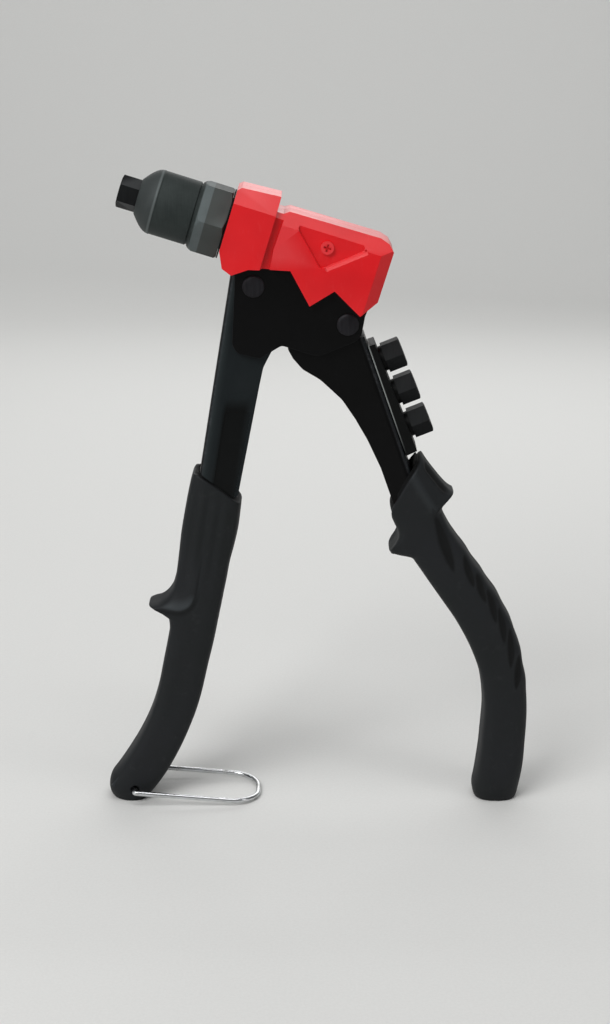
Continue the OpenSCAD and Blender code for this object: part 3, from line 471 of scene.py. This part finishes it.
def curve(table, at):
    """Smooth cubic curve through a table of [place, value]. Its slope at a row is the harmonic mean
    2 a b / (a + b) of the slopes a and b on both sides, or 0 where the curve turns back."""
    x, y = np.array(table, float).T
    gap = np.diff(x)
    straight = np.diff(y) / gap
    before, after = straight[:-1], straight[1:]
    mean = np.where(before * after > 0, 2 * before * after / (before + after + 1e-12), 0)
    slope = np.concatenate([[straight[0]], mean, [straight[-1]]])
    i = np.clip(np.searchsorted(x, at) - 1, 0, len(gap) - 1)
    t = (np.clip(at, x[0], x[-1]) - x[i]) / gap[i]
    return ((1 + 2 * t) * (1 - t) ** 2 * y[i] + t * (1 - t) ** 2 * gap[i] * slope[i]
            + t * t * (3 - 2 * t) * y[i + 1] + t * t * (t - 1) * gap[i] * slope[i + 1])


def rise(x, low, high):
    """0 below low, 1 above high and 3 t^2 - 2 t^3 between them."""
    t = np.clip((x - low) / (high - low), 0, 1)
    return t * t * (3 - 2 * t)


# Grips, in mm

# Letters: d is the distance along a handle, u the offset across it in its own plane, a the angle round
# a ring, c and q the share of a point across and sideways


def centre_line(start, run, d):
    """Handle centre line: x, z and lean at distances d, over straight and evenly turning stretches."""
    x, z, lean = start
    lean = math.radians(lean)
    out = np.zeros(np.shape(d) + (3,))
    left = 0.0
    for i, (length, turn) in enumerate(run):
        turn = math.radians(turn)
        here = (d >= left) if i else np.ones(np.shape(d), bool)
        past = np.where(here, d - left, 0)
        if turn == 0:
            line_x = x + past * math.sin(lean)
            line_z = z - past * math.cos(lean)
            line_lean = np.full(np.shape(d), lean)
            x, z = x + length * math.sin(lean), z - length * math.cos(lean)
        else:
            radius = length / turn
            line_lean = lean + turn * past / length
            line_x = x + radius * (math.cos(lean) - np.cos(line_lean))
            line_z = z + radius * (math.sin(lean) - np.sin(line_lean))
            x += radius * (math.cos(lean) - math.cos(lean + turn))
            z += radius * (math.sin(lean) - math.sin(lean + turn))
            lean += turn
        out = np.where(here[..., None], np.stack([line_x, line_z, line_lean], -1), out)
        left += length
    return out


def ring_places(line, plane, u, y):
    """Points in metres at offsets u across the handle, on a plane that leans by a slope, and y sideways."""
    x, z, lean = line[..., 0], line[..., 1], line[..., 2]
    x = x + u * (np.cos(lean) + plane * np.sin(lean))
    z = z + u * (np.sin(lean) - plane * np.cos(lean))
    return np.stack([x, y + 0 * x, z], -1) * MM


def reach(start, run, height):
    """Distance at which a centre line comes down to a height over the standing surface, by halving."""
    low, high = 0.0, 300.0
    for _ in range(40):
        middle = (low + high) / 2
        if centre_line(start, run, np.array(middle))[1] > height + STAND:
            low = middle
        else:
            high = middle
    return low


GRIP_HALF = 11.8  # half thickness of a grip
STEP_LENGTH = 1.3  # shadow step round each mouth
STEP_DEPTH = 1.9
STEP = np.array([(0, 1), (0.9, 1), (1.0, 0.85), (1.15, 0.3), (1.4, 0.06), (1.7, 0)])  # shares of both
DARK = -1.5  # relief value that paints a place black, as painted shade
CORNER = 0.6  # rounding of the pocket
FRONT_END = reach(*FRONT, 6.1) + 1.3  # where each handle's channel ends
REAR_END = reach(*REAR, 0.0) - 9


def squarish(a, n):
    """Across and sideways share of a point at angle a on the curve |c|^n + |q|^n = 1."""
    size = (np.abs(np.cos(a)) ** n + np.abs(np.sin(a)) ** n) ** (-1 / n)
    return np.cos(a) * size, np.sin(a) * size


def stations(form, rim, full, tip):
    """Distances of the rings: close over the step, then every 0.55 mm with the rows of the form among
    them, and round the lower end, from full to tip, spaced by a sine."""
    knots = form[(form[:, 0] > rim + 3) & (form[:, 0] < full - 1), 0]
    even = np.arange(rim + 2.8, full - 0.3, 0.55)
    even = even[np.abs(even[:, None] - knots).min(1) > 0.35]
    end = full + (tip - full) * np.sin(np.linspace(0, np.pi / 2, 14))
    return np.concatenate([rim + STEP_LENGTH * STEP[:, 0], np.union1d(even, knots), end])


def grip_outside(handle, form, full, tip, mouth, relief, a):
    """Rings of a grip's outside and the shade painted on them with their relief. A ring is squarish,
    rounder near the lower end: centre(d) + c(a) * (half width on that side + relief) across, and q(a) *
    (half thickness + relief) sideways. A step leads into the mouth; its deep part is painted black as
    painted shade. The mouth's plane leans by a slope that fades out at a distance, and it stands a lift
    higher from the faces back: mouth is that slope, distance and lift. The lower end shrinks by
    sqrt(1 - 0.75 t^2)."""
    slope, fade, lift = mouth
    rim = form[0, 0]
    d = stations(form, rim, full, tip)
    c, q = squarish(a[None], 4 - 1.5 * rise(d, full - 16, full + 1)[:, None])
    step = np.zeros(len(d))
    step[:len(STEP)] = -STEP_DEPTH * STEP[:, 1]
    size = np.sqrt(1 - 0.75 * np.clip((d - full) / (tip - full), 0, 1) ** 2)
    plane = slope * (1 - np.clip((d - rim) / (fade - rim), 0, 1))
    lift = lift * np.where(c < 0, rise(np.abs(q), 0.3, 0.97), 1 - 0.25 * rise(c, 0.2, 0.95))
    at = d[:, None] - lift * (1 - rise(d, rim, fade))[:, None]
    side = np.where(c < 0, curve(form[:, [0, 1]], d)[:, None], curve(form[:, [0, 2]], d)[:, None])
    wide, thick, shade = relief(d[:, None], c * side, q)
    u = c * (side + wide + step[:, None]) * size[:, None]
    y = q * (GRIP_HALF + thick + step[:, None]) * size[:, None]
    # painted shade: the deep part of the step into the mouth is painted black
    shade = shade + np.where(step < -1, DARK, 0)[:, None]
    return ring_places(centre_line(*handle, at), plane[:, None], u, y), shade


def grip_pocket(handle, rim, slope, pocket, a):
    """Rings of the rectangular pocket that follows the channel, from the mouth down. pocket is its
    reach to the front, to the back and sideways, its end and the slope of its floor."""
    near, back, half, end, floor = pocket
    d = np.concatenate([[rim], np.arange(rim + 12, end - 5, 9.0), [end]])
    plane = np.concatenate([[slope], np.zeros(len(d) - 2), [floor]])
    u = np.where(np.cos(a) < 0, CORNER - near, back - CORNER) + CORNER * np.cos(a) + 0 * d[:, None]
    y = np.sign(np.round(np.sin(a), 6)) * (half - CORNER) + CORNER * np.sin(a) + 0 * d[:, None]
    return ring_places(centre_line(*handle, d)[:, None], plane[:, None], u, y)


def grip_skin(name, body, handle, rows, relief, mouth, end, pocket):
    """A rubber sleeve on a handle, cut level at the standing surface. rows are distance, half width to
    the front and half width to the back; end is where the lower end starts to shrink and where it stops,
    past the distance of the standing surface, and its half widths."""
    length = reach(*handle, 0.0)
    full, tip = length + end[0], length + end[1]
    form = np.array(rows + [(full, end[2], end[3])], float)
    a = np.linspace(0, 2 * np.pi, 144, endpoint=False)
    outside, shade = grip_outside(handle, form, full, tip, mouth, relief, a)
    grid = np.concatenate([outside[::-1], grip_pocket(handle, form[0, 0], mouth[0], pocket, a)])
    grid[..., 2] = np.maximum(grid[..., 2], STAND * MM)
    points, faces = loft(grid)
    # the shade values go to the relief attribute as painted shade and highlight; the pocket's first ring, at
    # the mouth, is painted black as painted shade
    heights = np.zeros(len(points))
    heights[:shade.size] = shade[::-1].ravel()
    heights[shade.size:shade.size + len(a)] = DARK
    piece = build(name + "_skin", points, faces, RUBBER, body, sharp=50, relief=heights)
    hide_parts(name)


FRONT_FORM = [(45.6, 10.1, 12.2), (52, 10.9, 12.5), (60, 11.3, 12.7), (70, 11.5, 12.2), (80, 11.1, 11.4),
              (88, 10.9, 11.2), (95, 11.5, 10.9), (98.2, 12.6, 10.8), (101.4, 14.6, 10.7),
              (103.6, 17.2, 10.6), (105.3, 20.7, 10.6), (107.3, 15.4, 10.5), (109.6, 11.2, 10.5),
              (116, 9.8, 10.4), (130, 9.7, 10), (145, 9.3, 10), (160, 9, 9.8), (175, 9.1, 9.8),
              (188, 9.3, 9.8)]
REAR_FORM = [(65.3, 7.2, 12.2), (66.3, 8.8, 12.6), (70, 9, 14.1), (74.5, 9.2, 16.2), (77, 9.8, 17.4),
             (78.8, 11.4, 18.4), (79.9, 13.8, 19.2), (80.7, 16.4, 20.0), (81.1, 17, 14.4), (81.9, 17, 12.2),
             (84.4, 17, 11.2), (85.6, 16.4, 11), (92.2, 10.4, 10.6), (110, 10.5, 10.6), (130, 10.5, 10.7),
             (145, 10.1, 10.7), (160, 9.5, 10.1), (175, 9.5, 9.9), (190, 9.8, 10), (200, 9.5, 10.6)]
PEG = (192.8, 1.7)  # bail peg: distance along the front handle and offset from its centre line
DISH = (84, -14)  # middle of the thumb dish in the same terms, then its half length and half width
DISH_HALF = (19, 12.6)
# Slanted hollows beside the back of the rear grip: start and length along the handle
HOLLOWS = [(79.5, 27), (102, 15), (112, 13.5), (121, 14.5), (130, 15.5), (140, 17), (152, 15)]
HOLLOW_EDGE = 8.9  # offset at which a hollow starts, and how far it slants to the front per mm
HOLLOW_SLANT = 0.27
RIBS = (96, 170)  # ribs down the back of the rear grip: first and last distance, height and spacing
RIB_HEIGHT = 0.32
RIB_SPACING = 12.3


def front_relief(d, u, q):
    """Thumb dish in each face, inside a raised J-shaped edge that runs out of the thumb guard and fades
    upwards, on the curve (|d - middle| / half length)^4 + (|u - middle| / half width)^4 = 1; soft
    lengthwise flutes above; a hole round each bail peg. Gives the change across, the change sideways
    and the painted shade: a painted highlight on the lower J edge, faint along the flutes, painted shade
    at the edge's foot and black in each peg hole."""
    face = rise(np.abs(q), 0.7, 0.97)
    dish_d = np.abs(d - DISH[0]) / DISH_HALF[0]
    dish_u = np.abs(u - DISH[1]) / DISH_HALF[1]
    out = ((dish_d ** 4 + dish_u ** 4) ** 0.25 - 1) * 15
    low = rise(d, 72, 92)
    edge = 0.9 * np.exp(-np.where(out > 0, out / 0.9, out / 2.8) ** 2) * low
    foot = np.exp(-((out - 1.9) / 0.9) ** 2) * rise(d, 88, 100)
    dish = -0.5 * (1 - rise(out, -6.5, -1.5)) * low
    flute = 0.2 * np.sin(u * 1.15) * (1 - rise(d, 78, 98)) * rise(d, 48, 56)
    hole = -2.4 * (1 - rise(np.hypot(d - PEG[0], u - PEG[1]), 1.25, 1.95))
    height = face * (edge + dish + flute + hole - 0.35 * foot - 0.75)
    # painted light: the lower J edge is painted pale, its foot and the peg holes dark
    shade = face * (edge * rise(d, 92, 101) * 0.9 + 0.25 * flute - 0.6 * foot + hole)
    return 0 * (d + u), height, shade


def rear_relief(d, u, q):
    """Ribs over the back whose height is a sine squared, lens-shaped hollows that slant from the back's
    edge into each face, a ridge between the collar's back and its faces, and a pair of grooves down the
    back of the collar. Gives the change across, the change sideways and the painted shade: dark in the
    hollows and grooves, a painted highlight on the ridge."""
    wave = np.sin((d - RIBS[0]) * np.pi / RIB_SPACING) ** 2
    ribs = RIB_HEIGHT * wave * (d > RIBS[0]) * (d < RIBS[1]) * rise(u, 0.5, 6.0)
    hollow = 0 * (d + u)
    for start, length in HOLLOWS:
        t = np.clip((d - start) / length, 0, 1)
        width = 0.4 + (1.6 if length > 20 else 0.95) * np.sin(np.pi * t) ** 0.7
        off = (u - (HOLLOW_EDGE - HOLLOW_SLANT * (d - start))) / width
        hollow = np.minimum(hollow, -1.7 * np.sin(np.pi * t) ** 0.5 * np.exp(-off ** 2))
    hollow = hollow * rise(np.abs(q), 0.4, 0.75)
    groove = np.exp(-((np.abs(q) - 0.62) / 0.15) ** 2) * rise(u, 3, 8)
    groove = groove * rise(d, 67.5, 70.5) * (1 - rise(d, 78.3, 80.2))
    ridge = np.exp(-((u - 0.55 * (11 + (d - 66) * 0.42)) / 2.2) ** 2)
    ridge = ridge * (1 - rise(d, 78, 90)) * rise(np.abs(q), 0.8, 0.97)
    face = rise(np.abs(q), 0.6, 0.95)
    thick = 0.45 * hollow + 0.5 * ridge * face - 0.4 * face
    # painted shade in the hollows and grooves, painted highlight on the ridge
    return ribs - 1.2 * groove, thick, hollow - 1.1 * groove + 0.35 * ridge


grip_skin("front_grip", "frame", FRONT, FRONT_FORM, front_relief, mouth=(0.5, 80, 1.6),
          end=(-6.7, 1.5, 9.5, 9.8), pocket=(7.3, 7.3, 9.1, FRONT_END + 1.5, -0.25))
grip_skin("rear_grip", "lever", REAR, REAR_FORM, rear_relief, mouth=(-0.96, 86, 4.4),
          end=(-5, 4, 9.2, 11.6), pocket=(5.9, 6.5, 9.7, REAR_END + 0.3, 0))

# Opening spring, in mm back along, across and above the pulling axis
WIRE_RADIUS = 0.9
COIL_RADIUS = 6.0
COIL_MIDDLE = (106.4, -4.2, -23.3)  # at the coil's near end
COIL_PITCH = 2.15
COIL_START = math.radians(-96.9)
COIL_END = COIL_START + math.radians(1407)
FRONT_LEG = 44  # runs forward from the coil's start
LOWER_LEG = 24  # runs down and back from its end


def coil(angle):
    """Points of a helix of one radius and pitch."""
    back = COIL_MIDDLE[0] + COIL_RADIUS * np.cos(angle)
    across = (angle - COIL_START) / (2 * np.pi) * COIL_PITCH + COIL_MIDDLE[1]
    return np.stack([back, across, COIL_RADIUS * np.sin(angle) + COIL_MIDDLE[2]], -1)


def leg(angle, run):
    """Points of a straight leg at distances run from the coil's point at an angle, in line with it there."""
    direction = np.array([[-math.sin(angle), 0, math.cos(angle)]])
    return coil(np.full(len(run), angle)) + run[:, None] * direction


def opening_spring():
    """Opening spring as a round wire on the CAD spring's line; its lower leg follows the lever."""
    line = np.vstack([leg(COIL_START, np.linspace(-FRONT_LEG, -0.6, 40)),
                      coil(np.linspace(COIL_START, COIL_END, 420)),
                      leg(COIL_END, np.linspace(0.6, LOWER_LEG, 24))])
    points, faces = loft(tube(on_axis(line[:, 0], line[:, 1], line[:, 2]), WIRE_RADIUS * MM))
    spring = build("opening_spring_skin", points, faces, SPRING_WIRE, None)
    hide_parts("opening_spring")
    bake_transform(spring)


def sleeve_lip():
    """Crisp lip where the sleeve's cone meets its round band: a profile of distance back and radius,
    spun about the pulling axis."""
    profile = np.array([(14.8, 13.2), (15.2, 13.44), (15.6, 13.6), (15.9, 13.66), (16.3, 13.62),
                        (16.9, 13.4), (15.9, 13.0)])
    around, across = 96, len(profile)
    back, radius = profile.T
    angle = np.linspace(0, 2 * np.pi, around, endpoint=False)[:, None]
    ring = on_axis(back[None], radius * np.cos(angle), radius * np.sin(angle))
    i, k = (index.ravel() for index in np.meshgrid(np.arange(around), np.arange(across), indexing="ij"))
    i_next, k_next = (i + 1) % around * across, (k + 1) % across
    i = i * across
    faces = np.stack([i + k, i + k_next, i_next + k_next, i_next + k], -1).tolist()
    build("sleeve_lip", ring.reshape(-1, 3), faces, SLEEVE_STEEL, "frame")


opening_spring()
for node in ("housing_near", "housing_far"):
    softened(node, RED, "frame", 0.7, angle=24, segments=4)
for node in ("cheek_near", "cheek_far"):
    softened(node, BLACK, "frame", 0.3)
softened("front_arm", ARM_BLACK_PAINTED_SHEEN, "frame", 0.35)
softened("rear_lever", BLACK, "lever", 0.35)
softened("nose_sleeve", SLEEVE_STEEL, "frame", 0.3)
softened("nosepiece", NOSE_STEEL, "frame", 0.25)
sleeve_lip()
for node in ("spare_nosepiece_a", "spare_nosepiece_b", "spare_nosepiece_c"):
    softened(node, NOSE_STEEL, "lever", 0.25)
softened("nosepiece_rail", RAIL, "lever", 0.4)
for node in ("arm_rivet", "pivot_pin"):
    softened(node, RIVET_STEEL, "frame", 0.2)

painted(PLASTIC, "nose_ring")
painted(NOSE_STEEL, "barrel")
painted(BRIGHT_STEEL, "jaw_case", "jaw_top", "jaw_near", "jaw_far", "jaw_pusher", "puller", "puller_pins",
        "pivot_washers", "pivot_bush")
painted(SPRING_WIRE, "jaw_spring")
painted(RIVET_STEEL, "pivot_clip")
painted(RED, "housing_screws")
painted(BAIL_WIRE, "lock_bail")

# Floor, lamps, world and camera, in metres
FLOOR_FRONT = -4.0
FLOOR_HALF = 4.0
BEND_START = 1.1  # the floor bends up into the backdrop from here on
BEND_RADIUS = 0.6
BACKDROP_TOP = 2.4
LAMPS = {  # place, aim, size and watts
    "key": ((-0.5, -0.85, 0.8), (0.08, 0, -0.1), (0.7, 0.7), 9.8),
    "top": ((0.1, -0.3, 1.1), (0.08, 0, -0.05), (1.0, 0.45), 4.3),
    "rim": ((0.24, 0.95, 0.36), (0.08, 0, -0.02), (1.1, 0.5), 2.8),
    "right strip": ((0.95, -0.55, 0.16), (0.08, 0, -0.1), (0.2, 0.7), 0.9),
    "left strip": ((-0.95, -0.45, 0.16), (0.08, 0, -0.12), (0.2, 0.7), 1.3),
    "backdrop": ((0.1, 0.6, 1.2), (0.1, 1.7, 0.2), (2.0, 0.3), 9.0),
}
SKY = (0.86, 0.87, 0.88, 1)
SKY_STRENGTH = 0.24
CAMERA = (0.0768, -0.7746, 0.0977)
CAMERA_PITCH = math.radians(73)
LENS = 65.39
SENSOR_HEIGHT = 36.0


def floor_paper():
    """Pale matt paper with a fine mottle."""
    finish = Finish("floor", Specular_IOR_Level=0.2)
    mottle = finish.noise(finish.place(), 900, 3).rise(0.3, 0.7)
    colour = finish.blend(mottle, tint(216, 216, 214), tint(220, 220, 218))
    return finish.end(Base_Color=colour, Roughness=0.75)


def pale_floor():
    """The floor: flat, then a quarter circle up, then an upright backdrop."""
    bend = np.linspace(0, np.pi / 2, 20)
    depth = np.concatenate([np.linspace(FLOOR_FRONT, BEND_START, 28),
                            BEND_START + BEND_RADIUS * np.sin(bend),
                            np.full(10, BEND_START + BEND_RADIUS)])
    height = np.concatenate([np.zeros(28),
                             BEND_RADIUS * (1 - np.cos(bend)),
                             np.linspace(BEND_RADIUS + 0.05, BACKDROP_TOP, 10)]) + STAND * MM
    across = np.linspace(-FLOOR_HALF, FLOOR_HALF, 12)
    grid = np.stack(np.broadcast_arrays(across[None], depth[:, None], height[:, None]), -1)
    rows, wide = grid.shape[:2]
    i, k = np.meshgrid(np.arange(rows - 1), np.arange(wide - 1), indexing="ij")
    corner = i * wide + k
    quads = np.stack([corner, corner + 1, corner + wide + 1, corner + wide], -1).reshape(-1, 4)
    mesh = bpy.data.meshes.new("floor")
    mesh.from_pydata(grid.reshape(-1, 3).tolist(), [], quads.tolist())
    mesh.shade_smooth()
    mesh.materials.append(floor_paper())
    floor = show("floor", mesh)


def lamp(name, at, aim, size, power):
    """A rectangular lamp that faces its aim."""
    data = bpy.data.lights.new(name, "AREA")
    data.shape = "RECTANGLE"
    data.size, data.size_y = size
    data.energy = power
    piece = show(name, data)
    piece.location = at
    x, y, z = np.array(at) - np.array(aim)
    piece.rotation_euler = (math.atan2(math.hypot(x, y), z), 0, math.atan2(x, -y))


def sky():
    """Even light from all round."""
    world = bpy.data.worlds.new("studio")
    world.use_nodes = True
    background = world.node_tree.nodes["Background"].inputs
    background["Color"].default_value = SKY
    background["Strength"].default_value = SKY_STRENGTH
    bpy.context.scene.world = world


def camera():
    """The camera at the photograph's place and angle."""
    data = bpy.data.cameras.new("view")
    data.sensor_fit = "VERTICAL"
    data.sensor_height = SENSOR_HEIGHT
    data.lens = LENS
    data.clip_start = 0.01
    data.clip_end = 20
    view = show("view", data)
    view.location = CAMERA
    view.rotation_euler = (CAMERA_PITCH, 0, 0)
    bpy.context.scene.camera = view


pale_floor()
for name, (at, aim, size, power) in LAMPS.items():
    lamp(name, at, aim, size, power)
sky()
camera()
bpy.context.scene.view_settings.view_transform = "Standard"
